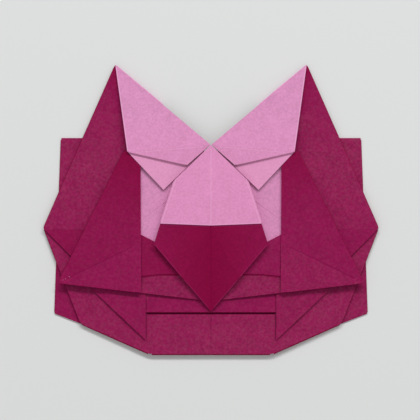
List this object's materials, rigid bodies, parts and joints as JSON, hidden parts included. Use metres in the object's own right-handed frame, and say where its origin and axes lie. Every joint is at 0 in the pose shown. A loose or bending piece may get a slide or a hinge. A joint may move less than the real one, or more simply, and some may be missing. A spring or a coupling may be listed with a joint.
{
  "type": "origami shisa mask",
  "caption": "Animal mask folded flat from a square of two-colour paper, with pointed ears, side flaps, fangs and a kite-shaped nose.",
  "frame": {"origin": "middle of the outline in X and Y, at the underside of the back layer, which lies on the table", "axes": "+Z out of the face, away from the table; +Y toward the ears; +X to the right as the face is seen"},
  "size_m": [0.0852, 0.0738, 0.0041],
  "materials": {
    "paper": "matte paper, magenta on one side and light pink on the other"
  },
  "bodies": {
    "root": {"folded_sheet": "paper"}
  },
  "joints": []
}
